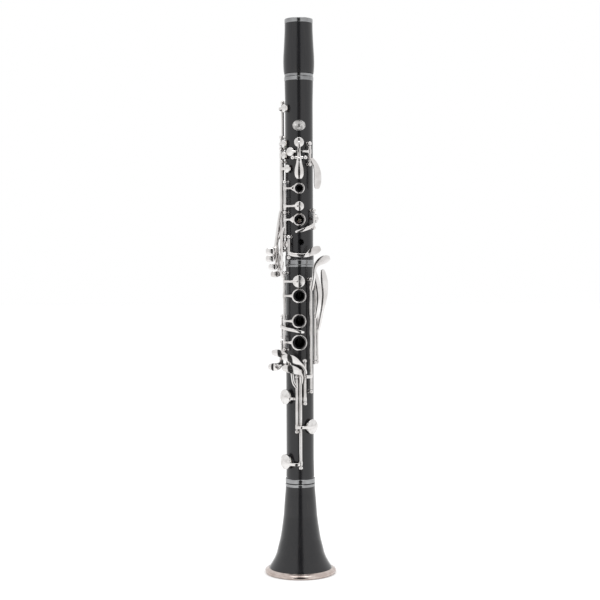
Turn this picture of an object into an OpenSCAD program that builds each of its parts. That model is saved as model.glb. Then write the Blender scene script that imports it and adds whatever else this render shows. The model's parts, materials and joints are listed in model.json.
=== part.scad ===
// Soprano clarinet in B flat, Boehm system, standing on its bell, without its mouthpiece.
// Z runs up the bore, and the finger holes face -Y. An angle round the body is 0 at the front
// and grows towards +X. Keys are drawn with their pads down, then swung to where they rest.

/* [Wood] */
// Bore of the cylindrical joints
bore_d = 15; // [14.4:0.1:15.4]
// Outside diameter of both joints
wood_d = 29.6; // [29:0.1:30]
// Widest diameter of the barrel
barrel_d = 33.2; // [32:0.1:35]
// Diameter across the bell's rim
bell_d = 76.8; // [72:0.2:84]
// Wall of the bell at its mouth
bell_wall = 3.4; // [2.6:0.1:4.5]

/* [Tenons] */
// Diameter of the sockets that take the corked tenons
socket_d = 22.7; // [22:0.1:23.4]
// Depth of a socket
socket_depth = 17.5; // [14:0.5:20]
// Radial slack between cork and socket
cork_slack = 0.04; // [0.02:0.01:0.08]

/* [Key work] */
// Distance of the hinge tubes from the bore axis
pivot_r = 19.3; // [18.8:0.1:19.8]
// Diameter of a hinge tube
tube_d = 3.1; // [2.6:0.1:3.4]
// Diameter of the steel rod in it
rod_d = 1.8; // [1.4:0.1:2]
// Diameter of a post's ball head
ball_d = 4.5; // [3.8:0.1:4.6]
// Radial slack between rod and tube
rod_slack = 0.03; // [0.02:0.01:0.08]
// Thickness of a pad
pad_t = 2.2; // [1.6:0.1:2.6]
// Angle by which the ring keys and open keys stand off their holes
open_angle = 5; // [3:0.5:6]
// Width of a ring key's band
band_w = 1.5; // [1.2:0.1:2]

/* [Hidden] */
$fn = 48;

wood = "#17120f";
silver = "#d9dbde";
steel = "#7f868c";
grey = "#8f949b";
copper = "#c98f7c";
cork = "#c9a26e";
leather = "#efe6d6";

// Heights of the joints above the floor
bell_h = 97.3;
lower_z = 98;
lower_top = 334;
upper_top = 534.3;
barrel_z = 534.5;
total_h = 596;
tenon_len = socket_depth - 0.6;

bore_r = bore_d / 2;
wood_r = wood_d / 2;
tube_r = tube_d / 2;
rod_r = rod_d / 2;
ball_r = ball_d / 2;
seat_r = wood_r + 1.2;
cork_r = socket_d / 2 - cork_slack;
tenon_r = socket_d / 2 - 0.9;
shank = 3.1;

// Angles of the hinge lines round the body
ring_line = -52;
c_sharp_line = -36;
trill_lines = [-72, -86, -100, -114];
g_sharp_line = 36;
left_sliver_line = 53;
right_ring_line = -57;
right_sliver_line = -74;
f_sharp_line = -88;
f_c_line = 16;
e_b_line = 2;
a_flat_line = -9.6;
left_f_sharp_line = 38;
left_e_b_line = 57;
left_f_c_line = 76;
thumb_line = -146;

// Heights of the holes and pads
z_first = 415;
z_first_pad = 396;
z_second = 381.7;
z_third = 357.8;
z_thumb = 398;
z_throat_a = 463.6;
z_a_pivot = 447.3;
z_g_sharp = 453.8;
z_register = 472;
z_badge = 481.8;
z_register_pivot = 438;
z_left_sliver = 383;
z_c_sharp = 355.5;
z_trill = [436, 450.5, 463, 500.5];
trill_pad_angles = [-45, -64, -66, -60];
z_right = [300.5, 273.6, 250.6];
z_right_pad = 316;
z_right_sliver = 267;
z_f_c = 192;
z_e_b = 122;
z_a_flat = 160;
z_f_sharp = 239;

a_pivot_r = 20;
a_half = 4.3;
a_post_x = 6.7;

function on(a, r, z) = [r * sin(a), -r * cos(a), z];
function row(a, r, z, w, t) = concat(on(a, r, z), [w, t]);
function unit(v) = v / norm(v);
function knot(p, i) = p[max(0, min(len(p) - 1, i))];
function blend(a, b, c, d, t) =
    (2 * b + (c - a) * t + (2 * a - 5 * b + 4 * c - d) * t * t + (3 * b - a - 3 * c + d) * t * t * t) / 2;
function smooth(p, n) = concat(
    [for (i = [0 : len(p) - 2], k = [0 : n - 1])
        blend(knot(p, i - 1), p[i], p[i + 1], knot(p, i + 2), k / n)],
    [p[len(p) - 1]]
);
function shrink(p, k) = [p[0], p[1], p[2], p[3] * k, p[4] * k];
function rounded(p) = let (m = len(p) - 1) concat(
    [shrink(p[0], 0.45), shrink(p[0] * 0.8 + p[1] * 0.2, 0.82)],
    [for (i = [1 : m - 1]) p[i]],
    [shrink(p[m] * 0.8 + p[m - 1] * 0.2, 0.82), shrink(p[m], 0.45)]
);
function place(p) = [p[0], p[1], p[2]];
function soft(v) = sign(v) * pow(abs(v), 0.7);

// A forged bar through rows of [x, y, z, width, thickness]. Its flat side faces away from the
// bore axis, or along up where that is given.
module bar(rows, up = undef, sides = 10, steps = 4) {
    path = rounded(smooth(rows, steps));
    n = len(path);
    points = [for (i = [0 : n - 1])
        let (
            here = place(path[i]),
            along = unit(place(knot(path, i + 1)) - place(knot(path, i - 1))),
            out = is_undef(up) ? unit([here[0], here[1], 0]) : up,
            side = unit(cross(along, out)),
            top = cross(side, along)
        )
        for (k = [0 : sides - 1])
            let (a = 360 * (k + 0.5) / sides)
            here + side * soft(cos(a)) * path[i][3] / 2 + top * soft(sin(a)) * path[i][4] / 2
    ];
    walls = [for (i = [0 : n - 2], k = [0 : sides - 1])
        let (a = i * sides + k, b = i * sides + (k + 1) % sides)
        each [[a, b, b + sides], [a, b + sides, a + sides]]
    ];
    caps = [
        [for (k = [sides - 1 : -1 : 0]) k],
        [for (k = [0 : sides - 1]) (n - 1) * sides + k]
    ];
    polyhedron(points = points, faces = concat(walls, caps));
}

// Puts a child at an angle, a distance and a height, with its own Z pointing outwards.
module outward(a, r, z) {
    rotate([0, 0, a]) translate([0, -r, z]) rotate([90, 0, 0]) children();
}

module swing(a, angle) {
    p = on(a, pivot_r, 0);
    translate(p) rotate([0, 0, angle]) translate(-p) children();
}

// A key on a tube along Z between two posts, with its bore drilled last.
module hinged(a, z0, z1) {
    difference() {
        union() {
            translate(on(a, pivot_r, z0)) cylinder(r = tube_r, h = z1 - z0);
            children();
        }
        translate(on(a, pivot_r, z0 - 20)) cylinder(r = rod_r + rod_slack, h = z1 - z0 + 40);
    }
}

// A collar where an arm is brazed on.
module collar(a, z, h = 4.5) {
    translate(on(a, pivot_r, z - h / 2)) cylinder(r = tube_r + 0.35, h = h);
}

// The pad cup: a shallow domed cap over the pad.
module cup(a, z, d, seat = seat_r) {
    r = d / 2;
    outward(a, seat, z) rotate_extrude() polygon([
        [0, pad_t], [r - 0.8, pad_t], [r - 0.8, 1], [r, 1], [r, pad_t + 0.3],
        [r - 0.35, pad_t + 0.75], [r * 0.7, pad_t + 1.25], [r * 0.35, pad_t + 1.55], [0, pad_t + 1.65]
    ]);
}

module pad(a, z, d, seat = seat_r) {
    color(leather) outward(a, seat + 0.03, z) cylinder(r = d / 2 - 0.85, h = pad_t - 0.03);
}

// The raised seat of a covered hole, and the hole through the wall.
module seat(a, z, d) {
    outward(a, wood_r - 3, z) cylinder(r = d / 2 - 1.4, h = seat_r - wood_r + 3);
}

module hole(a, z, r) {
    outward(a, bore_r - 2, z) cylinder(r = r, h = 14);
}

// The chimney of an open hole that a ring closes round.
module chimney(a, z, ring_r) {
    r = ring_r - band_w - 0.45;
    outward(a, wood_r - 3, z) cylinder(r = r, h = 6.2);
}

module loop_ring(a, z, r_out) {
    r_in = r_out - band_w;
    outward(a, 16.7, z) rotate_extrude() polygon([
        [r_in, 0.3], [r_in + 0.2, 0], [r_out - 0.4, 0], [r_out, 0.4], [r_out, 1.1],
        [r_out - 0.4, 1.6], [r_in + 0.4, 1.7], [r_in, 1.3]
    ]);
}

// A turned pillar with a ball head, screwed into the wood by its shank.
module post(a, z, r = pivot_r) {
    outward(a, wood_r - shank, z) cylinder(r = 1, h = shank);
    outward(a, wood_r - 0.5, z) cylinder(r = 1.65, h = 1);
    outward(a, wood_r - 0.4, z) cylinder(r1 = 1.5, r2 = 1.1, h = r - wood_r);
    translate(on(a, r, z)) sphere(r = ball_r);
}

module rod(a, z0, z1) {
    translate(on(a, pivot_r, z0)) cylinder(r = rod_r, h = z1 - z0);
}

// Both ring keys of the upper joint meet at this post.
ring_split_z = 389.5;

// Ends of every rod: [angle, lower post, upper post]
upper_hinges = concat(
    [
        [ring_line, 364, ring_split_z], [ring_line, ring_split_z, 422],
        [c_sharp_line, 341.5, 363.5],
        [g_sharp_line, 440.5, 462.5],
        [left_sliver_line, 373, 391.5],
        [thumb_line, 378, 410]
    ],
    [for (i = [0 : 3]) [trill_lines[i], 349, z_trill[i] + 7.5]]
);
lower_hinges = [
    [right_ring_line, 243, 325], [right_sliver_line, 256, 278],
    [f_sharp_line, 226, 250], [f_c_line, 185.5, 231], [e_b_line, 116.6, 220],
    [a_flat_line, 155.4, 214], [left_f_sharp_line, 198, 318],
    [left_e_b_line, 229, 318], [left_f_c_line, 229, 318]
];

module posts_of(hinges) {
    difference() {
        for (h = hinges, z = [h[1], h[2]]) post(h[0], z);
        for (h = hinges) rod(h[0], h[1] - 8, h[2] + 8);
    }
}

// The barrel's radius at each height above its lower edge.
top_ring_h = 4.6;
barrel_h = total_h - top_ring_h - barrel_z;
barrel_outline = [
    [15.7, 3.2], [16.2, 6], [barrel_d / 2 - 0.1, 11], [barrel_d / 2, 17], [barrel_d / 2 - 0.2, 23],
    [15.9, 31], [15.4, 40], [15, 49], [14.9, barrel_h]
];

module barrel() {
    color(wood) translate([0, 0, barrel_z]) difference() {
        rotate_extrude() polygon(concat(
            [[0, 3.2]], barrel_outline, [[0, barrel_h]]
        ));
        translate([0, 0, -1]) cylinder(r = bore_r, h = 70);
        translate([0, 0, -1]) cylinder(r = socket_d / 2, h = socket_depth + 1);
        translate([0, 0, total_h - barrel_z - socket_depth]) cylinder(r = socket_d / 2, h = socket_depth + 1);
    }
}

module band(z, h, r, r_in) {
    translate([0, 0, z]) rotate_extrude() polygon([
        [r_in, 0], [r - 0.35, 0], [r, 0.4], [r, h - 0.4], [r - 0.35, h], [r_in, h]
    ]);
}

module barrel_rings() {
    color(grey) {
        band(barrel_z, 3.2, 15.35, socket_d / 2);
        band(total_h - top_ring_h, top_ring_h, 15.15, socket_d / 2);
    }
}

module upper_joint() {
    color(wood) difference() {
        union() {
            translate([0, 0, lower_top]) cylinder(r = wood_r, h = upper_top - lower_top);
            translate([0, 0, upper_top - 28]) cylinder(r1 = wood_r, r2 = 15.3, h = 24);
            translate([0, 0, lower_top - tenon_len]) cylinder(r = tenon_r, h = tenon_len + 1);
            translate([0, 0, upper_top - 5.5]) cylinder(r = tenon_r, h = tenon_len + 5.5);
            band(lower_top + 5, 4.6, 15.4, bore_r + 2);
            for (c = upper_covered) seat(c[0], c[1], c[2]);
            for (c = upper_open) chimney(c[0], c[1], c[3]);
        }
        translate([0, 0, lower_top - 34]) cylinder(r = bore_r, h = 280);
        for (c = upper_covered) hole(c[0], c[1], c[3]);
        for (c = upper_open) hole(c[0], c[1], c[2]);
        outward(7, bore_r - 2, z_third) cylinder(r = 3, h = 14);
        outward(7, wood_r - 0.6, z_third) cylinder(r1 = 3, r2 = 3.8, h = 1);
        ring_seats(upper_rings);
    }
}

// Covered holes of a joint: [angle, height, cup diameter, hole radius]
upper_covered = concat(
    [
        [0, z_throat_a, 10.3, 2.6], [-31, z_g_sharp, 9.2, 2.4], [2, z_first_pad, 9.8, 2.6],
        [88, z_left_sliver, 9, 2.4], [-54, z_c_sharp, 8.2, 2.2],
        [180, z_register, 7.6, 1.5], [180, z_thumb - 17, 8.4, 2.2]
    ],
    [for (i = [0 : 3]) [trill_pad_angles[i], z_trill[i], 8.6, 2.3]]
);
lower_covered = [
    [0, z_right_pad, 13, 4], [-102, z_right_sliver, 10, 3], [-56, z_f_c, 16.3, 5.4],
    [-56, z_e_b, 16.3, 5.6], [46, z_a_flat, 15.8, 5.4], [-124, z_f_sharp, 14, 4.8]
];
// Open holes of a joint: [angle, height, hole radius, radius of the ring round it]
first_ring_r = 5.9;
second_ring_r = 6.7;
thumb_ring_r = 7;
right_ring_r = [7.75, 7.7, 8.5];
upper_open = [
    [1.5, z_first, 2.8, first_ring_r], [1.5, z_second, 3.5, second_ring_r],
    [180, z_thumb, 3.4, thumb_ring_r]
];
lower_open = [for (i = [0 : 2]) [0, z_right[i], right_ring_r[i] - 3.2, right_ring_r[i]]];

// Metal rings let into the wood: [height, length, radius]
upper_rings = [[lower_top, 5, 15.6], [upper_top - 4, 4, 15.7]];
lower_rings = [[lower_z, 4.9, 16], [lower_top - 2.7, 2.6, 15.7]];
ring_bed_r = 13.4;

module ring_seats(rings) {
    for (b = rings) difference() {
        translate([0, 0, b[0] - 0.01]) cylinder(r = 20, h = b[1] + 0.02);
        translate([0, 0, b[0] - 1]) cylinder(r = ring_bed_r, h = b[1] + 2);
    }
}

module upper_joint_rings() {
    color(grey) for (b = upper_rings) band(b[0], b[1], b[2], ring_bed_r);
}

module lower_joint_rings() {
    color(grey) for (b = lower_rings) band(b[0], b[1], b[2], ring_bed_r);
}

module tenon_corks() {
    ends = [
        [lower_top - tenon_len + 3, 11], [upper_top + 3, 11], [lower_z - tenon_len + 3, 11]
    ];
    color(cork) for (e = ends) difference() {
        translate([0, 0, e[0]]) cylinder(r = cork_r, h = e[1]);
        translate([0, 0, e[0] - 1]) cylinder(r = tenon_r, h = e[1] + 2);
    }
}

module lower_joint() {
    color(wood) difference() {
        union() {
            translate([0, 0, lower_z]) cylinder(r = wood_r, h = lower_top - lower_z);
            translate([0, 0, lower_z - tenon_len]) cylinder(r = tenon_r, h = tenon_len + 1);
            translate([0, 0, lower_z + 7]) cylinder(r1 = 15.2, r2 = wood_r, h = 18);
            for (c = lower_covered) seat(c[0], c[1], c[2]);
            for (c = lower_open) chimney(c[0], c[1], c[3]);
        }
        translate([0, 0, lower_z - 30]) cylinder(r = bore_r, h = 260);
        translate([0, 0, lower_z - 30]) cylinder(r1 = 10, r2 = bore_r, h = 70);
        translate([0, 0, lower_top - socket_depth]) cylinder(r = socket_d / 2, h = socket_depth + 1);
        for (c = lower_covered) hole(c[0], c[1], c[3]);
        for (c = lower_open) hole(c[0], c[1], c[2]);
        ring_seats(lower_rings);
    }
}

bell_ring_h = 3.2;
rim_w = 4.4;

// The flare's radius at each height, outside, from the rim up.
bell_outline = [
    [bell_d / 2 - rim_w, 5.5], [32.4, 8.2], [30.4, 11.4], [27.9, 16], [25.9, 21], [24, 29], [21.9, 37],
    [20.4, 46], [19.1, 55], [18.1, 63], [17.5, 72], [16.8, 81], [16.1, 89], [15.8, bell_h - bell_ring_h]
];

module bell() {
    color(wood) difference() {
        rotate_extrude($fn = 96) polygon(concat(
            [[bell_d / 2 - rim_w - bell_wall, 0.6], [bell_d / 2 - rim_w, 0.6]],
            bell_outline,
            [[10.2, bell_h - bell_ring_h], [10.2, 70], [11.6, 60], [13.6, 46], [16.6, 29], [20.2, 18],
                [25.6, 9]]
        ));
        translate([0, 0, bell_h - bell_ring_h - socket_depth]) {
            cylinder(r = socket_d / 2, h = socket_depth + 1);
        }
    }
}

module bell_top_ring() {
    color(grey) band(bell_h - bell_ring_h, bell_ring_h, 16.1, socket_d / 2);
}

module bell_rim_ring() {
    r = bell_d / 2;
    color(copper) rotate_extrude($fn = 96) polygon([
        [r - rim_w - bell_wall, 0], [r - 1, 0], [r - 0.3, 0.5], [r, 1.4], [r, 2.6], [r - 0.4, 3.5],
        [r - 1.2, 4.1], [r - rim_w, 5.5], [r - rim_w, 0.6], [r - rim_w - bell_wall, 0.6]
    ]);
}

module badge() {
    color(silver) difference() {
        outward(0, wood_r - 1, z_badge) scale([1, 0.8, 1]) cylinder(r = 7, h = 1.6);
        translate([0, 0, z_badge - 10]) cylinder(r = wood_r, h = 20);
    }
}

module upper_posts() {
    color(silver) {
        posts_of(upper_hinges);
        difference() {
            for (x = [-a_post_x, a_post_x]) {
                throat_post(x, z_a_pivot, -1);
                throat_post(x, z_register_pivot, 1);
            }
            throat_rod(z_a_pivot, -1);
            throat_rod(z_register_pivot, 1);
        }
    }
}

// Posts and rod of the two rocking keys, at the front (side -1) and the back (side 1).
module throat_post(x, z, side) {
    translate([x, side * 10, z]) rotate([-90 * side, 0, 0]) cylinder(r = 1.3, h = a_pivot_r - 10);
    translate([x, side * a_pivot_r, z]) rotate([0, 90, 0]) sphere(r = 2.2);
}

module throat_rod(z, side) {
    translate([-a_post_x - 1.6, side * a_pivot_r, z]) rotate([0, 90, 0])
        cylinder(r = rod_r, h = 2 * a_post_x + 3.2);
}

module lower_posts() {
    color(silver) posts_of(lower_hinges);
}

// How far a rod runs past the middle of its post.
function rod_end(z) = z == ring_split_z ? 0 : 1.9;

module upper_rods() {
    color(steel) {
        for (h = upper_hinges) rod(h[0], h[1] - rod_end(h[1]), h[2] + rod_end(h[2]));
        throat_rod(z_a_pivot, -1);
        throat_rod(z_register_pivot, 1);
    }
}

module lower_rods() {
    color(steel) for (h = lower_hinges) rod(h[0], h[1] - rod_end(h[1]), h[2] + rod_end(h[2]));
}

// Needle springs stand in the posts and run beside the tubes.
module needle_springs() {
    spring_r = pivot_r - 2.35;
    at = [
        [ring_line, 422, -1], [g_sharp_line, 440.5, 1], [left_sliver_line, 391.5, -1],
        [right_sliver_line, 278, -1], [f_sharp_line, 250, -1], [left_f_c_line, 318, -1],
        [left_e_b_line, 318, -1], [e_b_line, 220, -1], [right_ring_line, 243, 1]
    ];
    color(steel) for (s = at) {
        translate(on(s[0], spring_r, s[1] + (s[2] > 0 ? 1.3 : -16.3))) cylinder(r = 0.3, h = 15);
    }
}

// The metal liner of the thumb hole.
module thumb_tube() {
    color(silver) outward(180, bore_r + 0.6, z_thumb) difference() {
        cylinder(r = 3.4, h = 10.4);
        translate([0, 0, -1]) cylinder(r = 3.05, h = 13);
    }
}

plate_z = 283;
foot_gap = 2.1;

module thumb_rest_plate() {
    color(silver) difference() {
        union() {
            intersection() {
                rotate_extrude() translate([wood_r, plate_z - 15]) square([1.2, 34]);
                translate([-6.5, 0, plate_z - 16]) cube([13, 30, 36]);
            }
            translate([-3.4, wood_r + 0.6, plate_z - 8.4]) cube([6.8, foot_gap - 0.65, 20.4]);
        }
        for (z = [plate_z - 11, plate_z + 15]) outward(180, 12, z) cylinder(r = 1.25, h = 6);
    }
}

module plate_screws() {
    color(steel) for (z = [plate_z - 11, plate_z + 15]) difference() {
        union() {
            outward(180, wood_r - 4, z) cylinder(r = 1.2, h = 6);
            outward(180, wood_r + 1.2, z) cylinder(r1 = 2, r2 = 1.7, h = 0.8);
        }
        translate([-3, wood_r + 1.65, z - 0.25]) cube([6, 1, 0.5]);
    }
}

// The slotted foot slides on the plate, and the hook above carries the thumb.
module thumb_rest() {
    foot_y = wood_r + foot_gap;
    color(silver) difference() {
        union() {
            translate([-4.5, foot_y, plate_z - 7.5]) cube([9, 2, 17]);
            bar([
                [0, foot_y + 1.2, plate_z - 6.5, 15, 2], [0, foot_y + 5, plate_z - 7, 18, 2.2],
                [0, foot_y + 12, plate_z - 6.2, 17, 2.4], [0, foot_y + 19, plate_z - 3, 12, 2]
            ], up = [0, 0, 1], steps = 5);
        }
        outward(180, wood_r, plate_z + 4.5) cylinder(r = 1.35, h = 8);
    }
}

module thumb_rest_screw() {
    color(steel) difference() {
        union() {
            outward(180, wood_r + foot_gap, plate_z + 4.5) cylinder(r = 1.32, h = 2.2);
            outward(180, wood_r + foot_gap + 2, plate_z + 4.5) cylinder(r = 2.6, h = 1.6);
        }
        translate([-4, wood_r + foot_gap + 3, plate_z + 4.2]) cube([8, 1, 0.6]);
    }
}

module register_key() {
    color(silver) difference() {
        union() {
            throat_tube(z_register_pivot, 1);
            cup(180, z_register, 7.6);
            bar([row(180, 19.9, z_register, 2.6, 1.2), row(180, 20.4, 464, 2.8, 1.8),
                row(180, 21, 450, 3, 2), row(180, 20.6, z_register_pivot, 4.4, 2.4)]);
            bar([row(180, 20.8, z_register_pivot, 4.4, 2.4), row(180, 22.8, 430, 6, 2.4),
                row(180, 23, 420, 9, 2), row(180, 21.8, 411, 8, 1.6), row(180, 21.2, 409, 4, 1.2)]);
        }
        throat_hole(z_register_pivot, 1);
    }
}

module throat_tube(z, side) {
    translate([-a_half, side * a_pivot_r, z]) rotate([0, 90, 0]) cylinder(r = tube_r, h = 2 * a_half);
}

module throat_hole(z, side) {
    translate([-8, side * a_pivot_r, z]) rotate([0, 90, 0]) cylinder(r = rod_r + rod_slack, h = 16);
}

module register_pad() {
    pad(180, z_register, 7.6);
}

module thumb_ring() {
    color(silver) swing(thumb_line, open_angle) hinged(thumb_line, 380.4, 407.6) {
        loop_ring(180, z_thumb, thumb_ring_r);
        bar([row(-146, 20.2, z_thumb, 4, 2), row(-156, 19, z_thumb, 5, 1.6),
            row(-161, 17.7, z_thumb, 8, 1.5)]);
        bar([row(-146, 20.2, z_thumb - 14, 4, 2), row(-160, 20.6, z_thumb - 16, 3.2, 1.8),
            row(180, 20.1, z_thumb - 17, 2.6, 1.2)]);
        cup(180, z_thumb - 17, 8.4);
    }
}

module thumb_ring_pad() {
    swing(thumb_line, open_angle) pad(180, z_thumb - 17, 8.4);
}

module throat_a_key() {
    color(silver) difference() {
        union() {
            throat_tube(z_a_pivot, -1);
            cup(0, z_throat_a, 10.3);
            bar([row(0, 20, z_throat_a + 1, 2.6, 1.2), row(0, 21.9, 458.5, 3, 2),
                row(0, 22, 452, 3.2, 2), row(0, 20.6, z_a_pivot, 4.2, 2.4)]);
            bar([row(0, 20.8, z_a_pivot, 4.4, 2.4), row(0, 22.8, 441, 6.5, 2.4), row(0, 23.2, 434, 9.8, 2),
                row(0, 22.8, 428, 9.2, 1.8), row(0, 22.4, 424.6, 4.5, 1.2)]);
        }
        throat_hole(z_a_pivot, -1);
    }
}

module throat_a_pad() {
    pad(0, z_throat_a, 10.3);
}

module throat_g_sharp_key() {
    color(silver) hinged(g_sharp_line, 443, 460) {
        collar(g_sharp_line, z_g_sharp);
        cup(-31, z_g_sharp, 9.2);
        bar([row(36, 20, z_g_sharp, 3, 2), row(16, 19.2, z_g_sharp, 2.3, 1.8),
            row(-10, 19.1, z_g_sharp, 2.3, 1.6), row(-30, 20, z_g_sharp, 2.4, 1.2)]);
        bar([row(38, 20.6, 446.5, 4, 2.2), row(50, 22.6, 440, 6, 2.2), row(55, 23.8, 431, 8.6, 2.2),
            row(55, 23.8, 421, 8.8, 2), row(54, 23.2, 414.5, 5, 1.5)], up = [0.6, -1, 0]);
    }
}

module throat_g_sharp_pad() {
    pad(-31, z_g_sharp, 9.2);
}

// An arm from a tube that forks into the near side of its ring; spread is the fork's width.
module web(a, z, r_out, spread) {
    reach = -asin((r_out - 0.9) / 17.5);
    bar([row(a, 19.8, z, 2.8, 1.8), row(a * 0.76, 19.5, z, 2.1, 1.6), row(reach * 1.6, 18.7, z, 2.2, 1.4),
        row(reach * 1.24, 17.9, z, spread * 0.7, 1.4), row(reach, 17.5, z, spread, 1.3)], steps = 3);
}

module first_ring_key() {
    color(silver) swing(ring_line, -open_angle) hinged(ring_line, 391.9, 419.5) {
        collar(ring_line, z_first);
        collar(ring_line, z_first_pad);
        loop_ring(1.5, z_first, first_ring_r);
        web(ring_line, z_first, first_ring_r, 7.2);
        cup(2, z_first_pad, 9.8);
        bar([row(ring_line, 20.2, z_first_pad, 2.8, 1.8), row(-26, 20.8, z_first_pad, 2.1, 1.6),
            row(1, 20.1, z_first_pad, 2.4, 1.2)]);
    }
}

module first_ring_pad() {
    swing(ring_line, -open_angle) pad(2, z_first_pad, 9.8);
}

module second_ring_key() {
    color(silver) swing(ring_line, -open_angle) hinged(ring_line, 366.5, 387.1) {
        collar(ring_line, z_second);
        loop_ring(1.5, z_second, second_ring_r);
        web(ring_line, z_second, second_ring_r, 8);
        bar([row(ring_line, 20.4, 374, 4, 2), row(-54, 23.2, 367, 4, 2), row(-56, 23, 350, 4.2, 2),
            row(-57, 22.9, 343, 6.6, 1.9), row(-58, 22.8, 333, 6.6, 1.8)]);
    }
}

module left_sliver_key() {
    color(silver) hinged(left_sliver_line, 375.5, 389) {
        cup(88, z_left_sliver, 9);
        bar([row(55, 20, z_left_sliver, 3.6, 2), row(72, 20.6, z_left_sliver, 3, 1.8),
            row(87, 20, z_left_sliver, 2.6, 1.2)]);
        bar([row(51, 20.4, 378, 3.6, 2), row(36, 22, 374.5, 3.6, 2), row(14, 21.6, 371, 3.4, 1.8),
            row(-12, 21, 368.6, 2.4, 1.4)]);
    }
}

module left_sliver_pad() {
    pad(88, z_left_sliver, 9);
}

module c_sharp_key() {
    color(silver) hinged(c_sharp_line, 344, 361) {
        cup(-54, z_c_sharp, 8.2);
        bar([row(-37, 20.3, z_c_sharp, 3.6, 1.8), row(-46, 20.2, z_c_sharp, 3, 1.5),
            row(-54, 20, z_c_sharp, 2.6, 1.2)]);
        bar([row(-35, 20.6, 347, 4, 2), row(-18, 22.6, 344.5, 3.8, 2.2), row(12, 23.2, 343.6, 3.8, 2.2),
            row(26, 23.4, 344.8, 5.4, 2)]);
        bar([[8.6, -21.4, 344.2, 4.6, 2], [14, -20.6, 347.6, 8.4, 1.9], [19, -18.8, 350, 8, 1.8],
            [22.4, -17, 351.4, 4.4, 1.3]], up = [0, -1, 0]);
    }
}

module c_sharp_pad() {
    pad(-54, z_c_sharp, 8.2);
}

trill_touch_z = [348, 340, 331.5, 323.5];
trill_touch_x = [-35.8, -36, -33.2, -31];
trill_touch_y = [-8, -3.5, 1, 5.5];
trill_root_z = [392, 386, 380, 374];

module trill_key(i) {
    a = trill_lines[i];
    z = trill_touch_z[i];
    x = trill_touch_x[i];
    y = trill_touch_y[i];
    top = z_trill[i];
    color(silver) hinged(a, 351.5, top + 5) {
        collar(a, top);
        cup(trill_pad_angles[i], top, 8.6);
        bar([row(a, 20, top, 3.4, 1.8), row((a + trill_pad_angles[i]) / 2, 20.8, top, 3, 1.8),
            row(trill_pad_angles[i], 20, top, 2.6, 1.2)]);
        bar([
            row(a, 20.3, trill_root_z[i], 3.6, 1.8), row(a, 22.6, trill_root_z[i] - 9, 3, 1.8),
            row((a * 2 - 95) / 3, 25.4, 356, 3, 1.8),
            [x + 9, y, z + 3, 5, 1.8], [x + 5, y, z, 6.8, 1.8], [x, y, z, 5, 1.4]
        ], up = [-0.3, -1, 0], steps = 3);
    }
}

module trill_pad(i) {
    pad(trill_pad_angles[i], z_trill[i], 8.6);
}

module trill_key_1() trill_key(0);
module trill_key_2() trill_key(1);
module trill_key_3() trill_key(2);
module trill_key_4() trill_key(3);
module trill_pad_1() trill_pad(0);
module trill_pad_2() trill_pad(1);
module trill_pad_3() trill_pad(2);
module trill_pad_4() trill_pad(3);

module right_ring_key() {
    color(silver) swing(right_ring_line, -open_angle) hinged(right_ring_line, 245.4, 322.6) {
        for (i = [0 : 2]) {
            collar(right_ring_line, z_right[i]);
            loop_ring(0, z_right[i], right_ring_r[i]);
            web(right_ring_line, z_right[i], right_ring_r[i], 4.4);
        }
        cup(0, z_right_pad, 13);
        bar([row(right_ring_line, 20.2, z_right_pad, 3, 1.8), row(-30, 20.8, z_right_pad, 2.3, 1.7),
            row(-2, 20.1, z_right_pad, 2.6, 1.2)]);
        bar([row(right_ring_line, 20.6, 320, 4, 2), row(-60, 22.6, 325, 4, 1.8), row(-62, 20.3, 331, 4, 1.6),
            row(-62, 20.2, 337, 5, 1.5)]);
    }
}

module right_ring_pad() {
    swing(right_ring_line, -open_angle) pad(0, z_right_pad, 13);
}

module right_sliver_key() {
    color(silver) hinged(right_sliver_line, 258.5, 275.5) {
        cup(-102, z_right_sliver, 10);
        bar([row(-76, 20, z_right_sliver, 3.6, 2), row(-90, 20.6, z_right_sliver, 3, 1.8),
            row(-102, 20, z_right_sliver, 2.6, 1.2)]);
        bar([row(-73, 20.5, 268, 3.4, 2), row(-57, 23.1, 267.2, 3.4, 2), row(-34, 23, 265.2, 3.4, 1.8),
            row(0, 21.8, 262.6, 3, 1.6), row(13, 21.2, 261.8, 2.2, 1.3)]);
    }
}

module right_sliver_pad() {
    pad(-102, z_right_sliver, 10);
}

module f_c_key() {
    color(silver) swing(f_c_line, open_angle) hinged(f_c_line, 187.9, 228.6) {
        collar(f_c_line, 190);
        cup(-56, z_f_c, 16.3);
        bar([row(f_c_line, 18.2, 190.4, 3.2, 1.7), row(8, 16.3, 190.4, 3, 1.4), row(-4, 16.2, 190.4, 3, 1.4),
            row(-14, 16.3, 190.4, 3, 1.4), row(-22, 17.5, 190.5, 3, 1.6), row(-29, 20, 190.8, 3, 1.8),
            row(-36, 21.2, 191, 3, 1.8), row(-45, 20.8, 191.5, 3, 1.6), row(-56, 20, z_f_c, 3.2, 1.3)],
            steps = 3);
        bar([row(f_c_line, 20.2, 214, 3.4, 2), [5.6, -22, 220.5, 3.2, 2.2], [3, -23.4, 225.6, 3.2, 2.2],
            [-0.6, -24.3, 228.8, 3.8, 2.3], [-4.5, -25.2, 231.4, 6.6, 2.6], [-9, -25.7, 233.6, 8.4, 2.8],
            [-14.5, -25.3, 235.2, 7.6, 2.6], [-19.4, -24, 235.8, 4.6, 1.6]], up = [0, -1, 0], steps = 3);
    }
}

module f_c_pad() {
    swing(f_c_line, open_angle) pad(-56, z_f_c, 16.3);
}

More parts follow.
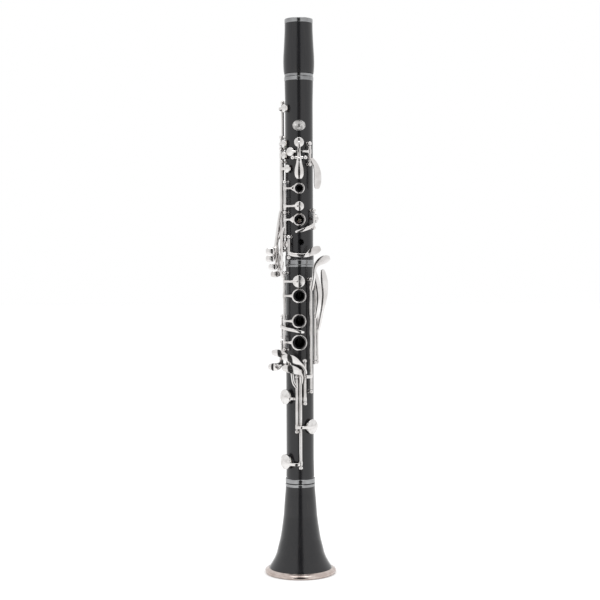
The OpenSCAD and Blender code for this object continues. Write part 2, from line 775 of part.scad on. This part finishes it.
module e_b_key() {
    color(silver) swing(e_b_line, open_angle) hinged(e_b_line, 119, 217.5) {
        collar(e_b_line, 121.5);
        cup(-56, z_e_b, 16.3);
        bar([row(e_b_line, 20.2, 120.4, 3.6, 2), row(-16, 21.2, 120.2, 3, 1.9), row(-36, 21, 120.8, 3, 1.8),
            row(-56, 20.1, z_e_b, 3.2, 1.3)]);
        bar([row(e_b_line, 20.2, 206, 3.4, 2), [1.8, -23, 213.5, 3.2, 2.2], [0, -24.4, 217.8, 4, 2.3],
            [-3.4, -25.4, 220.6, 7.2, 2.6], [-8.5, -25.9, 222.6, 8.8, 2.8], [-14.5, -25.4, 223.8, 7.8, 2.6],
            [-19.4, -24, 224, 4.6, 1.6]], up = [0, -1, 0], steps = 3);
    }
}

module e_b_pad() {
    swing(e_b_line, open_angle) pad(-56, z_e_b, 16.3);
}

module a_flat_key() {
    color(silver) hinged(a_flat_line, 157.8, 211.6) {
        collar(a_flat_line, 160.4);
        cup(46, z_a_flat, 15.8);
        bar([row(a_flat_line, 20.3, 160.4, 3.6, 2), row(3, 22.9, 160.2, 3, 1.9), row(24, 22, 160.2, 3, 1.9),
            row(45, 20.2, z_a_flat, 3.2, 1.3)]);
        bar([row(a_flat_line, 20.2, 203, 3.4, 2), [-6.9, -20.2, 208, 3.2, 1.9], [-8.2, -20.8, 217, 3.2, 1.8],
            [-10.4, -21.4, 227, 3.2, 1.8], [-13.4, -21.8, 234.4, 4, 2], [-17.4, -22.2, 237.8, 7, 2.4],
            [-22, -22.6, 239.6, 8, 2.6], [-26.4, -22.2, 240.4, 7, 2.2], [-30, -21, 240.6, 4, 1.5]],
            up = [0, -1, 0], steps = 3);
    }
}

module a_flat_pad() {
    pad(46, z_a_flat, 15.8);
}

module f_sharp_key() {
    color(silver) swing(f_sharp_line, open_angle) hinged(f_sharp_line, 228.4, 247.6) {
        collar(f_sharp_line, z_f_sharp);
        cup(-124, z_f_sharp, 14);
        bar([row(-90, 20.2, z_f_sharp, 4, 2), row(-106, 20.8, z_f_sharp, 3.8, 1.9),
            row(-123, 20.1, z_f_sharp, 3.2, 1.4)]);
        bar([row(-87, 20.4, 233, 4, 2), [-20.6, -7.6, 229.6, 4.4, 2.2], [-23, -12, 225.8, 6.4, 2.4],
            [-27.4, -14.8, 224.6, 8.4, 2.6], [-31.6, -15.2, 224.8, 7.6, 2.4], [-35, -14.6, 225.2, 4.4, 1.6]],
            up = [0, -1, 0], steps = 3);
    }
}

module f_sharp_pad() {
    swing(f_sharp_line, open_angle) pad(-124, z_f_sharp, 14);
}

module left_f_sharp_lever() {
    color(silver) hinged(left_f_sharp_line, 200.4, 315.6) {
        bar([row(left_f_sharp_line, 20.4, 306, 4, 2), [15.2, -20.6, 320, 3.8, 2], [16.4, -20.8, 331, 4.4, 2],
            [21, -20, 336.4, 7.4, 2], [27, -19, 339.4, 8.8, 1.9], [32.4, -18, 341, 5, 1.4]],
            up = [0.15, -1, 0], steps = 3);
        collar(left_f_sharp_line, 215);
        bar([row(left_f_sharp_line, 20.4, 215, 4, 2), row(27, 23.4, 214.6, 3.6, 2),
            row(16, 23.6, 214.4, 3.2, 1.8)]);
    }
}

module left_e_b_lever() {
    color(silver) hinged(left_e_b_line, 231.4, 315.6) {
        bar([row(left_e_b_line, 20.2, 276, 3.6, 2), [18.8, -14.6, 286, 4.4, 2], [20.8, -15, 297, 6, 2],
            [20.2, -15.4, 308, 6.4, 1.9], [17.8, -15.8, 319, 5.6, 1.9], [15.6, -16, 328.6, 3, 1.4]],
            up = [0.2, -1, 0], steps = 3);
        collar(left_e_b_line, 234);
    }
}

module left_f_c_lever() {
    color(silver) hinged(left_f_c_line, 231.4, 315.6) {
        bar([row(left_f_c_line, 20.2, 262, 3.6, 2), [22.2, -6.6, 275, 4, 2], [25, -7.6, 289, 4.6, 2],
            [27, -8.6, 303, 6.6, 1.9], [26.4, -9.2, 316, 8, 1.9], [24.6, -9.6, 328.6, 4.6, 1.4]],
            up = [0.2, -1, 0], steps = 3);
        collar(left_f_c_line, 234);
    }
}

barrel();
barrel_rings();
upper_joint();
upper_joint_rings();
tenon_corks();
lower_joint();
lower_joint_rings();
bell();
bell_top_ring();
bell_rim_ring();
badge();
upper_posts();
lower_posts();
upper_rods();
lower_rods();
needle_springs();
thumb_tube();
thumb_rest_plate();
plate_screws();
thumb_rest();
thumb_rest_screw();
register_key();
register_pad();
thumb_ring();
thumb_ring_pad();
throat_a_key();
throat_a_pad();
throat_g_sharp_key();
throat_g_sharp_pad();
first_ring_key();
first_ring_pad();
second_ring_key();
left_sliver_key();
left_sliver_pad();
c_sharp_key();
c_sharp_pad();
trill_key_1();
trill_pad_1();
trill_key_2();
trill_pad_2();
trill_key_3();
trill_pad_3();
trill_key_4();
trill_pad_4();
right_ring_key();
right_ring_pad();
right_sliver_key();
right_sliver_pad();
f_c_key();
f_c_pad();
e_b_key();
e_b_pad();
f_sharp_key();
f_sharp_pad();
a_flat_key();
a_flat_pad();
left_e_b_lever();
left_f_c_lever();
left_f_sharp_lever();
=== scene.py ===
"""The looks of a soprano clarinet that stands on its bell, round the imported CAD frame.

Metres, +Z up the bore, finger holes towards -Y.
"""
import json
import math

import bpy
import numpy as np
from mathutils import Matrix, Vector


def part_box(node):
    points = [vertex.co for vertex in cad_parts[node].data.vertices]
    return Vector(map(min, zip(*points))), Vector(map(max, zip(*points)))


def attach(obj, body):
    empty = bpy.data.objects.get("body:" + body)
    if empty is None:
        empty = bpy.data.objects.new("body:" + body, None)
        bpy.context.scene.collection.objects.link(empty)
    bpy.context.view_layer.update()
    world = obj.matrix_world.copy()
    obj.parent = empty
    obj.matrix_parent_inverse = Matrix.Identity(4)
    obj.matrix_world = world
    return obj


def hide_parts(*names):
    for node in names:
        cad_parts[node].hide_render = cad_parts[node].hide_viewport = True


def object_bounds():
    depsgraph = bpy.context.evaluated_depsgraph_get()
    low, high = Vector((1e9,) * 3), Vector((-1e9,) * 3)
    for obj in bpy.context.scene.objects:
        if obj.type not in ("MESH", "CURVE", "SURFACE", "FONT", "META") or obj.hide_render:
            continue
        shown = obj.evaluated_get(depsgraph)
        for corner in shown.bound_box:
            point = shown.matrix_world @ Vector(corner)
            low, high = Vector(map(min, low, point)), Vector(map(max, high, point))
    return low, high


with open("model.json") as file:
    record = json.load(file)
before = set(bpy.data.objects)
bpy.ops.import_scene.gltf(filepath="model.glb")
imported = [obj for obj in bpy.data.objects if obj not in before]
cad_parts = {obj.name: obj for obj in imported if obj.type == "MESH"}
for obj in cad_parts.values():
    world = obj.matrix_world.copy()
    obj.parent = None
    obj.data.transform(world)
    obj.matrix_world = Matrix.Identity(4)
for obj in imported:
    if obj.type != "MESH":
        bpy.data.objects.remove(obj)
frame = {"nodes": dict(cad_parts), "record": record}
cad_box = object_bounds()
MM = 0.001

# ---------------------------------------------------------------- camera

LENS_MM = 80.0
DISTANCE = 1.437
EYE_HEIGHT = 0.3497
AIM_HEIGHT = 0.2955
SIDE_STEP = 0.0004
LEAN_DEG = -0.22


def make_camera():
    """Looks along +Y, from a little over half the instrument's height."""
    data = bpy.data.cameras.new("camera")
    data.lens = LENS_MM
    data.sensor_width = 36.0
    data.clip_start = 0.05
    data.clip_end = 50.0
    cam = bpy.data.objects.new("camera", data)
    bpy.context.scene.collection.objects.link(cam)
    cam.location = (SIDE_STEP, -DISTANCE, EYE_HEIGHT)
    look = Vector((SIDE_STEP, 0.0, AIM_HEIGHT)) - cam.location
    aim = look.to_track_quat("-Z", "Y")
    cam.rotation_mode = "QUATERNION"
    cam.rotation_quaternion = aim @ Matrix.Rotation(math.radians(LEAN_DEG), 4, "Z").to_quaternion()
    bpy.context.scene.camera = cam


make_camera()

# ---------------------------------------------------------------- material helpers


class Nodes:
    """A short way to write a material's node tree, with a principled shader at its end."""

    def __init__(self, name):
        self.material = bpy.data.materials.new(name)
        self.material.use_nodes = True
        self.tree = self.material.node_tree
        self.tree.nodes.clear()
        self.out = self.tree.nodes.new("ShaderNodeOutputMaterial")
        self.shader = self.tree.nodes.new("ShaderNodeBsdfPrincipled")
        self.tree.links.new(self.shader.outputs[0], self.out.inputs[0])

    def put(self, node, key, value):
        """Links a node's output into an input, or writes a plain value there."""
        socket = node.inputs[key]
        if hasattr(value, "links"):
            self.tree.links.new(value, socket)
        else:
            socket.default_value = value

    def set(self, **inputs):
        """The shader's inputs by name, with _ for each space."""
        for key, value in inputs.items():
            self.put(self.shader, key.replace("_", " "), value)

    def place(self, scale):
        """The point's own place in the frame, in metres, stretched by scale."""
        where = self.tree.nodes.new("ShaderNodeTexCoord")
        mapping = self.tree.nodes.new("ShaderNodeMapping")
        mapping.inputs["Scale"].default_value = scale
        self.tree.links.new(where.outputs["Object"], mapping.inputs["Vector"])
        return mapping.outputs[0]

    def noise(self, scale, detail=3.0, rough=0.5):
        """Noise with so many features to the metre along X, Y and Z."""
        node = self.tree.nodes.new("ShaderNodeTexNoise")
        self.tree.links.new(self.place(scale), node.inputs["Vector"])
        node.inputs["Scale"].default_value = 1.0
        node.inputs["Detail"].default_value = detail
        node.inputs["Roughness"].default_value = rough
        return node.outputs["Fac"]

    def ramp(self, value, *stops):
        """Colours at places between 0 and 1, each stop as (place, (red, green, blue))."""
        node = self.tree.nodes.new("ShaderNodeValToRGB")
        self.tree.links.new(value, node.inputs[0])
        ends = node.color_ramp.elements
        while len(ends) < len(stops):
            ends.new(0.5)
        for end, (at, colour) in zip(ends, stops):
            end.position = at
            end.color = (*colour, 1.0)
        return node.outputs[0]

    def span(self, value, lo, hi):
        """Stretches the middle of a noise, where nearly all of it lies, over lo to hi."""
        node = self.tree.nodes.new("ShaderNodeMapRange")
        self.tree.links.new(value, node.inputs["Value"])
        node.inputs["From Min"].default_value = 0.3
        node.inputs["From Max"].default_value = 0.7
        node.inputs["To Min"].default_value = lo
        node.inputs["To Max"].default_value = hi
        return node.outputs[0]

    def bump(self, height, strength, distance):
        """A normal that shows height as relief, distance metres deep at most."""
        node = self.tree.nodes.new("ShaderNodeBump")
        node.inputs["Strength"].default_value = strength
        node.inputs["Distance"].default_value = distance
        self.tree.links.new(height, node.inputs["Height"])
        return node.outputs[0]

    def both(self, a, b):
        """The product of two values."""
        node = self.tree.nodes.new("ShaderNodeMath")
        node.operation = "MULTIPLY"
        self.put(node, 0, a)
        self.put(node, 1, b)
        return node.outputs[0]


def grenadilla():
    """Oiled blackwood: a straight fine grain along the bore, open pores and a polished skin."""
    n = Nodes("grenadilla")
    grain = n.noise((900, 900, 22), 5, 0.6)
    broad = n.noise((160, 160, 7), 3)
    pores = n.noise((4200, 4200, 150), 2, 0.55)
    n.set(
        Base_Color=n.ramp(
            grain,
            (0.3, (0.007, 0.007, 0.0085)),
            (0.55, (0.0105, 0.0105, 0.012)),
            (0.78, (0.022, 0.018, 0.0165)),
        ),
        Roughness=n.span(broad, 0.15, 0.24),
        Specular_IOR_Level=0.5,
        Normal=n.bump(n.both(pores, grain), 0.12, 0.00003),
    )
    return n.material


def silver_plate():
    """Polished silver plate with a trace of handling and tarnish."""
    n = Nodes("silver_plate")
    smear = n.noise((210, 210, 210), 4, 0.6)
    tarnish = n.noise((75, 75, 75), 3, 0.55)
    scratch = n.noise((2600, 2600, 700), 2, 0.5)
    n.set(
        Base_Color=n.ramp(
            tarnish, (0.28, (0.56, 0.535, 0.52)), (0.5, (0.71, 0.69, 0.68)), (0.8, (0.80, 0.79, 0.78))
        ),
        Metallic=1.0,
        Roughness=n.span(smear, 0.07, 0.16),
        Normal=n.bump(scratch, 0.06, 0.00002),
    )
    return n.material


def turned_silver():
    """The cups' faces: silver plate over the lathe's fine rings, which stretch each reflection."""
    n = Nodes("turned_silver")
    tarnish = n.noise((160, 160, 160), 3, 0.55)
    smear = n.noise((420, 420, 420), 4, 0.6)
    rings = n.tree.nodes.new("ShaderNodeTexWave")
    rings.wave_type = "RINGS"
    rings.rings_direction = "Z"
    rings.inputs["Scale"].default_value = 950.0
    rings.inputs["Distortion"].default_value = 0.4
    n.tree.links.new(n.place((1, 1, 1)), rings.inputs["Vector"])
    around = n.tree.nodes.new("ShaderNodeTangent")
    around.direction_type = "RADIAL"
    around.axis = "Z"
    n.set(
        Base_Color=n.ramp(
            tarnish, (0.3, (0.55, 0.53, 0.515)), (0.5, (0.72, 0.705, 0.695)), (0.8, (0.82, 0.81, 0.80))
        ),
        Metallic=1.0,
        Roughness=n.span(smear, 0.12, 0.17),
        Anisotropic=1.0,
        Anisotropic_Rotation=0.25,
        Tangent=around.outputs[0],
        Normal=n.bump(rings.outputs["Fac"], 0.1, 0.00001),
    )
    return n.material


def ring_metal():
    """Turned nickel silver, duller and darker than the keys, with the lathe's fine lines."""
    n = Nodes("ring_metal")
    lines = n.noise((60, 60, 9000), 2, 0.6)
    stain = n.noise((120, 120, 160), 3, 0.6)
    n.set(
        Base_Color=n.ramp(
            stain, (0.3, (0.24, 0.24, 0.245)), (0.6, (0.335, 0.34, 0.345)), (0.8, (0.40, 0.405, 0.41))
        ),
        Metallic=1.0,
        Roughness=n.span(stain, 0.13, 0.2),
        Normal=n.bump(lines, 0.08, 0.00002),
    )
    return n.material


def badge_metal():
    """The badge on the upper joint: pale pewter, worn bright in places and dull between them."""
    n = Nodes("badge_metal")
    dots = n.noise((1900, 1900, 1900), 2, 0.7)
    stain = n.noise((300, 300, 300), 3, 0.6)
    n.set(
        Base_Color=n.ramp(
            n.both(dots, stain),
            (0.14, (0.3, 0.295, 0.29)),
            (0.24, (0.55, 0.54, 0.53)),
            (0.4, (0.72, 0.71, 0.7)),
        ),
        Metallic=1.0,
        Roughness=n.span(stain, 0.18, 0.3),
        Normal=n.bump(dots, 0.3, 0.00006),
    )
    return n.material


def copper_plate():
    """The bell's rim: pale copper-washed nickel, polished, with fine lathe lines."""
    n = Nodes("copper_plate")
    stain = n.noise((150, 150, 220), 4, 0.6)
    lines = n.noise((70, 70, 8000), 2, 0.6)
    n.set(
        Base_Color=n.ramp(
            stain, (0.3, (0.42, 0.345, 0.315)), (0.55, (0.56, 0.48, 0.445)), (0.8, (0.68, 0.61, 0.57))
        ),
        Metallic=1.0,
        Roughness=n.span(stain, 0.13, 0.22),
        Normal=n.bump(lines, 0.08, 0.00002),
    )
    return n.material


def steel():
    """Ground steel of the rods, screws and springs."""
    n = Nodes("steel")
    lines = n.noise((5200, 5200, 300), 2, 0.6)
    stain = n.noise((300, 300, 120), 3, 0.6)
    n.set(
        Base_Color=n.ramp(stain, (0.3, (0.27, 0.28, 0.3)), (0.7, (0.52, 0.53, 0.55))),
        Metallic=1.0,
        Roughness=n.span(stain, 0.22, 0.4),
        Normal=n.bump(lines, 0.2, 0.00002),
    )
    return n.material


def cork():
    """Tenon cork: mottled, with dark lenticels."""
    n = Nodes("cork")
    grain = n.noise((700, 700, 700), 6, 0.7)
    dark = n.noise((260, 260, 900), 3, 0.6)
    n.set(
        Base_Color=n.ramp(
            n.both(grain, dark),
            (0.12, (0.16, 0.085, 0.04)),
            (0.24, (0.5, 0.31, 0.16)),
            (0.4, (0.66, 0.45, 0.26)),
        ),
        Roughness=n.span(grain, 0.7, 0.95),
        Normal=n.bump(grain, 0.8, 0.0002),
    )
    return n.material


def kid_leather():
    """The fine white skin of the pads."""
    n = Nodes("kid_leather")
    grain = n.noise((2600, 2600, 2600), 4, 0.65)
    stain = n.noise((420, 420, 420), 3, 0.6)
    n.set(
        Base_Color=n.ramp(
            stain, (0.3, (0.62, 0.54, 0.42)), (0.6, (0.83, 0.78, 0.69)), (0.8, (0.88, 0.85, 0.78))
        ),
        Roughness=n.span(grain, 0.55, 0.8),
        Normal=n.bump(grain, 0.5, 0.00008),
        Subsurface_Weight=0.08,
        Subsurface_Scale=0.001,
    )
    return n.material


MATERIALS = {
    "badge_metal": badge_metal(),
    "grenadilla_wood": grenadilla(),
    "silver_plate": silver_plate(),
    "turned_silver": turned_silver(),
    "ring_metal": ring_metal(),
    "copper_plate": copper_plate(),
    "steel": steel(),
    "cork": cork(),
    "pad_leather": kid_leather(),
}
SLOTS = {s["node"]: s["material_slot"] for s in frame["record"]["subparts"]}

# ---------------------------------------------------------------- the CAD nodes

SHARP_DEG = 38.0
WELD = 0.002 * MM
SOFT_EDGE = 0.1 * MM
WOOD = ("upper_joint", "lower_joint", "barrel", "bell")


def dress(name, obj):
    """Gives a CAD node its material. Modifiers weld it, and soften metal's edges or split wood's."""
    obj.data.materials.clear()
    obj.data.materials.append(MATERIALS[SLOTS[name]])
    for face in obj.data.polygons:
        face.use_smooth = True
    weld = obj.modifiers.new("weld", "WELD")
    weld.merge_threshold = WELD
    if name not in WOOD:
        soft = obj.modifiers.new("edge", "BEVEL")
        soft.width = SOFT_EDGE
        soft.segments = 2
        soft.limit_method = "ANGLE"
        soft.angle_limit = math.radians(SHARP_DEG)
        soft.use_clamp_overlap = True
        level = obj.modifiers.new("level", "WEIGHTED_NORMAL")
        level.weight = 80
    else:
        split = obj.modifiers.new("split", "EDGE_SPLIT")
        split.split_angle = math.radians(SHARP_DEG)
        split.use_edge_sharp = False


for node_name, node in frame["nodes"].items():
    dress(node_name, node)

# ---------------------------------------------------------------- pieces made here


def build(name, verts, faces, material):
    """A new smooth piece from its corners and faces."""
    mesh = bpy.data.meshes.new(name)
    mesh.from_pydata(verts, [], faces)
    mesh.validate()
    for face in mesh.polygons:
        face.use_smooth = True
    mesh.materials.append(material)
    piece = bpy.data.objects.new(name, mesh)
    bpy.context.scene.collection.objects.link(piece)
    return piece


def ring_faces(rings, steps, first=0):
    """Quads between neighbouring closed rings of corners, from corner number first on."""
    faces = []
    for k in range(rings - 1):
        here = first + k * steps
        there = here + steps
        for i in range(steps):
            j = (i + 1) % steps
            faces.append((here + i, there + i, there + j, here + j))
    return faces


# ---------------------------------------------------------------- turned caps of the pad cups

# a cup is CUP_LIP wider than its pad, and its shoulder lies CUP_SHOULDER above the pad's outer face
CUP_LIP = 0.85 * MM
CUP_SHOULDER = 0.75 * MM
# the cone's rise is CUP_SLOPE of the radius, kept between the two values of CUP_RISE
CUP_RISE = (1.2 * MM, 1.55 * MM)
CUP_SLOPE = 0.22
CUP_CURVE = 1.5
CUP_ROLL = 0.3 * MM
CUP_EDGE = (0.2 * MM, 0.45 * MM)
CAP_SKIN = 0.05 * MM
AROUND = 64
RINGS = 16


def disc_frame(name):
    """(centre of the outer face, outward axis, radius) of a disc-shaped node, from its points."""
    points = np.array([v.co for v in frame["nodes"][name].data.vertices], float)
    middle = points.mean(0)
    axes = np.linalg.svd(points - middle, full_matrices=False)[2]
    along = [points @ axis for axis in axes]
    centre = sum((a.min() + a.max()) / 2 * axis for a, axis in zip(along, axes))
    out = Vector(axes[2])
    if out.dot(Vector((centre[0], centre[1], 0))) < 0:
        out.negate()
    thick = along[2].max() - along[2].min()
    radius = (along[0].max() - along[0].min()) / 2
    return Vector(centre) + out * thick / 2, out, radius


def lathe(name, outline, material):
    """A piece turned about its own Z from (radius, height) points, the first one on the axis."""
    turns = [2 * math.pi * i / AROUND for i in range(AROUND)]
    verts = [(0, 0, outline[0][1])]
    verts += [(r * math.cos(turn), r * math.sin(turn), z) for r, z in outline[1:] for turn in turns]
    tip = [(0, 1 + i, 1 + (i + 1) % AROUND) for i in range(AROUND)]
    return build(name, verts, tip + ring_faces(len(outline) - 1, AROUND, 1), material)


def cap(pad, body):
    """The face of the cup that holds this pad: a shallow cone, round at its tip and its edge."""
    place, out, pad_radius = disc_frame(pad)
    radius = pad_radius + CUP_LIP
    rise = min(max(CUP_RISE[0], CUP_SLOPE * radius), CUP_RISE[1])
    outline = []
    for k in range(RINGS + 1):
        t = k / RINGS
        outline.append((t * (radius - CUP_ROLL), CUP_SHOULDER + rise * (1 - t**CUP_CURVE) + CAP_SKIN))
    for drop in CUP_EDGE:
        outline.append((radius + CAP_SKIN, CUP_SHOULDER - drop))
    piece = lathe(pad.replace("_pad", "") + "_cap", outline, MATERIALS["turned_silver"])
    piece.matrix_world = Matrix.Translation(place) @ out.to_track_quat("Z", "Y").to_matrix().to_4x4()
    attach(piece, body)


for body_name, members in frame["record"]["behaviour"]["bodies"].items():
    for member in members:
        if SLOTS[member] == "pad_leather":
            cap(member, body_name)

# ---------------------------------------------------------------- the side keys' finger plates

PLATE_LENGTH = 9.5 * MM
PLATE_WIDTH = 7.2 * MM
PLATE_RISE = 1.1 * MM
PLATE_TILT_DEG = 11.0
PLATE_LIFT = 0.1 * MM
PLATE_EDGE = 0.3 * MM
PLATE_CORNERS = 3
PLATE_RINGS = 12
PLATE_EDGE_RINGS = 2


def side_key_plate(node, body):
    """A rounded plate that crowns a side key's touch: it leans outward, away from the joint."""
    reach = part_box(node)[0].x + PLATE_LENGTH
    tip = np.array([v.co for v in frame["nodes"][node].data.vertices if v.co.x < reach])
    tip = tip[tip[:, 2] < tip[:, 2].min() + PLATE_WIDTH]
    (x0, y0, z0), (x1, _, z1) = tip.min(0), tip.max(0)
    middle = Vector(((x0 + x1) / 2, y0, (z0 + z1) / 2))
    half_x, half_z = (x1 - x0) / 2, (z1 - z0) / 2
    lean = math.tan(math.radians(PLATE_TILT_DEG))
    rings = 1 + PLATE_RINGS + PLATE_EDGE_RINGS
    verts = []
    for k in range(rings):
        share = min(1.0, k / PLATE_RINGS)
        for i in range(AROUND):
            turn = 2 * math.pi * i / AROUND
            c, s = math.cos(turn), math.sin(turn)
            bulge = (abs(c) ** PLATE_CORNERS + abs(s) ** PLATE_CORNERS) ** (-1 / PLATE_CORNERS)
            u, v = share * bulge * c, share * bulge * s
            if k > PLATE_RINGS:
                up = PLATE_EDGE * (PLATE_RINGS - k)
            else:
                up = PLATE_RISE * (1 - share**4) + lean * half_x * (1 + u) / 2 + PLATE_LIFT
            verts.append(middle + Vector((half_x * u, -up, half_z * v)))
    plate = build(node + "_plate", verts, ring_faces(rings, AROUND), MATERIALS["silver_plate"])
    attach(plate, body)


for number in range(1, 5):
    side_key_plate(f"trill_key_{number}", f"trill_{number}")

# ---------------------------------------------------------------- the throat key's finger plate

SPOON_LENGTH = 19.0 * MM
SPOON_CROWN = 1.0 * MM
SPOON_EDGE = 0.55 * MM
SPOON_THICK = 0.3 * MM
SPOON_LIFT = 0.03 * MM
SPOON_GAP = 0.45 * MM
SPOON_ROUND = 2.4
SPOON_ROWS = 48
SPOON_COLUMNS = 28


def cross_sections(points, gap):
    """(height, half width, front) of each ring of corners along an upright bar, lowest first."""
    groups = []
    for p in sorted(points, key=lambda p: p.z):
        if not groups or p.z - groups[-1][-1].z > gap:
            groups.append([])
        groups[-1].append(p)
    return np.array(
        [(sum(p.z for p in g) / len(g), max(abs(p.x) for p in g), min(p.y for p in g)) for g in groups]
    )


def spoon_plate(node, body):
    """The crowned teardrop that a fingertip pushes, laid over the flat front of the key's touch."""
    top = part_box(node)[0].z + SPOON_LENGTH
    touch = [v.co for v in frame["nodes"][node].data.vertices if v.co.z < top]
    rings = cross_sections(touch, SPOON_GAP)
    start, end = rings[0][0], rings[-1][0]
    verts, faces = [], []
    for i in range(SPOON_ROWS + 1):
        t = i / SPOON_ROWS
        z = start + (end - start) * t
        half = np.interp(z, rings[:, 0], rings[:, 1])
        face_y = np.interp(z, rings[:, 0], rings[:, 2])
        swell = min(1.0, 5 * t + 0.1, 4 * (1 - t) + 0.1)
        for j in range(SPOON_COLUMNS + 1):
            u = 2 * j / SPOON_COLUMNS - 1
            rise = (SPOON_CROWN * swell + SPOON_EDGE) * (1 - abs(u) ** SPOON_ROUND) - SPOON_EDGE
            verts.append((half * u, face_y - SPOON_LIFT - rise, z))
    for i in range(SPOON_ROWS):
        for j in range(SPOON_COLUMNS):
            a = i * (SPOON_COLUMNS + 1) + j
            faces.append((a, a + 1, a + SPOON_COLUMNS + 2, a + SPOON_COLUMNS + 1))
    plate = build(node + "_plate", verts, faces, MATERIALS["silver_plate"])
    thick = plate.modifiers.new("thick", "SOLIDIFY")
    thick.thickness = SPOON_THICK
    thick.offset = -1
    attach(plate, body)


spoon_plate("throat_a_key", "throat_a")

# ---------------------------------------------------------------- the badge

BADGE_LEVEL = 0.175 * MM
BADGE_RELIEF = 0.15 * MM
BADGE_RAY = 0.09 * MM
BADGE_RAYS = 24
BADGE_STEPS = 192
# (share of the oval's half width, share of BADGE_RELIEF), from the boss by the rays to the border
BADGE_BOSS = ((0.0, 1.3), (0.1, 1.25), (0.2, 1.0), (0.26, 0.5), (0.3, 0.35))
BADGE_RAY_BAND = ((0.36, 0.5), (0.5, 1.0), (0.66, 1.0), (0.76, 0.5))
BADGE_BORDER = ((0.8, 0.35), (0.85, 0.6), (0.9, 1.5), (0.95, 1.6), (0.985, 1.2), (1.0, 0.4), (1.0, -1.0))


def badge_face():
    """An oval plate wrapped round the joint: a raised border, plain rays and a small boss."""
    lo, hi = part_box("badge")
    across, up = (hi.x - lo.x) / 2, (hi.z - lo.z) / 2
    level = (hi.z + lo.z) / 2
    joint_r = min(math.hypot(v.co.x, v.co.y) for v in frame["nodes"]["badge"].data.vertices)
    profile = BADGE_BOSS + BADGE_RAY_BAND + BADGE_BORDER
    verts = []
    for share, lift in profile:
        for i in range(BADGE_STEPS):
            turn = 2 * math.pi * i / BADGE_STEPS
            r = joint_r + BADGE_LEVEL + BADGE_RELIEF * lift
            if (share, lift) in BADGE_RAY_BAND:
                r += BADGE_RAY * math.cos(BADGE_RAYS * turn)
            a = share * across * math.cos(turn) / joint_r
            verts.append((r * math.sin(a), -r * math.cos(a), level + share * up * math.sin(turn)))
    faces = ring_faces(len(profile), BADGE_STEPS)
    face = build("badge_face", verts, faces, MATERIALS["badge_metal"])
    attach(face, "instrument")
    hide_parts("badge")


badge_face()

# ---------------------------------------------------------------- floor and light

FLOOR_SIZE = 14.0
FLOOR_GAP = 0.0002
FLAG_AWAY = 1.6
FLAG_TALL = 4.0
FLAG_LIFT = 0.0005
FLAG_PAST_BELL = 0.001
FRONT_HALF_DEG = 13.0
FRONT_GLOW = 0.035
BACK_HALF_DEG = 9.0
BACK_GLOW = 0.25
LAMP_PLACE = Vector((0, -0.4, 2.6))
LAMP_SIZE = 1.6
LAMP_WATTS = 16


def make_stage():
    """A plain white floor that runs out of sight."""
    bpy.ops.mesh.primitive_plane_add(size=FLOOR_SIZE, location=(0, 0, cad_box[0].z - FLOOR_GAP))
    floor = bpy.context.object
    floor.name = "floor"
    n = Nodes("floor_white")
    n.set(
        Base_Color=(0.96, 0.96, 0.96, 1),
        Roughness=0.8,
        Specular_IOR_Level=0.1,
        Emission_Color=(1, 1, 1, 1),
        Emission_Strength=0.07,
    )
    floor.data.materials.append(n.material)


def make_light():
    """A light tent: white all round, and a soft lamp above its front half, aimed at the bell."""
    world = bpy.data.worlds.new("studio")
    bpy.context.scene.world = world
    world.use_nodes = True
    back = world.node_tree.nodes["Background"]
    back.inputs[0].default_value = (1, 1, 1, 1)
    back.inputs[1].default_value = 1.0
    data = bpy.data.lights.new("top", "AREA")
    data.shape = "SQUARE"
    data.size = LAMP_SIZE
    data.energy = LAMP_WATTS
    lamp = bpy.data.objects.new("top", data)
    bpy.context.scene.collection.objects.link(lamp)
    lamp.location = LAMP_PLACE
    lamp.rotation_euler = (-LAMP_PLACE).to_track_quat("-Z", "Y").to_euler()


def make_flag(name, side, half_deg, glow):
    """A dark cloth, up one side of the tent and along the floor to the bell. Only reflections show it."""
    slope = math.tan(math.radians(half_deg))
    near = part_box("bell_rim_ring")[1].y + FLAG_PAST_BELL
    edge = [(near, FLAG_LIFT), (FLAG_AWAY, FLAG_LIFT), (FLAG_AWAY, FLAG_TALL)]
    points = [(lr * away * slope, side * away, z) for away, z in edge for lr in (-1, 1)]
    n = Nodes(name + "_cloth")
    n.set(
        Base_Color=(0.01, 0.01, 0.01, 1),
        Roughness=1.0,
        Specular_IOR_Level=0.0,
        Emission_Color=(1, 1, 1, 1),
        Emission_Strength=glow,
    )
    flag = build(name, points, [(0, 1, 3, 2), (2, 3, 5, 4)], n.material)
    flag.visible_camera = False
    flag.visible_shadow = False
    flag.visible_diffuse = False


make_stage()
make_flag("front_flag", -1, FRONT_HALF_DEG, FRONT_GLOW)
make_flag("back_flag", 1, BACK_HALF_DEG, BACK_GLOW)
make_light()
view = bpy.context.scene.view_settings
view.view_transform = "Standard"
view.look = "None"
